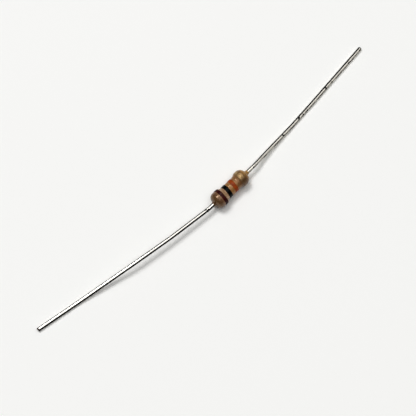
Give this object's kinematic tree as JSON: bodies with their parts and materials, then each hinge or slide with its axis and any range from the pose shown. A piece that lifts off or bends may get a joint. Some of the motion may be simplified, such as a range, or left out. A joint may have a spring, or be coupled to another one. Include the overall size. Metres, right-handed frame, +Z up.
{
  "type": "axial resistor",
  "caption": "Axial carbon film resistor: lacquered dog-bone body with colour bands, spiral-cut film on a ceramic rod, pressed caps and two bent wire leads.",
  "frame": {"origin": "on the surface the part lies on, straight under the middle of the lacquered body", "axes": "+X along the body from the brown end to the gold end, +Y to the side the leads are bent to, +Z up"},
  "size_m": [0.0604, 0.006, 0.0025],
  "materials": {
    "ceramic": "matte fired ceramic",
    "carbon": "dull carbon film",
    "cap_steel": "pressed, tin plated",
    "tinned_wire": "bright tin plating",
    "lacquer": "dipped lacquer, glossy",
    "ink_brown": "printed ink, glossy",
    "ink_black": "printed ink, glossy",
    "ink_orange": "printed ink, glossy",
    "ink_gold": "printed metallic ink, satin"
  },
  "bodies": {
    "root": {"ceramic_rod": "ceramic", "carbon_film": "carbon", "end_cap_left": "cap_steel", "end_cap_right": "cap_steel", "lead_left": "tinned_wire", "lead_right": "tinned_wire", "lacquer_coat": "lacquer", "band_first_brown": "ink_brown", "band_second_black": "ink_black", "band_multiplier_orange": "ink_orange", "band_tolerance_gold": "ink_gold"}
  },
  "joints": []
}
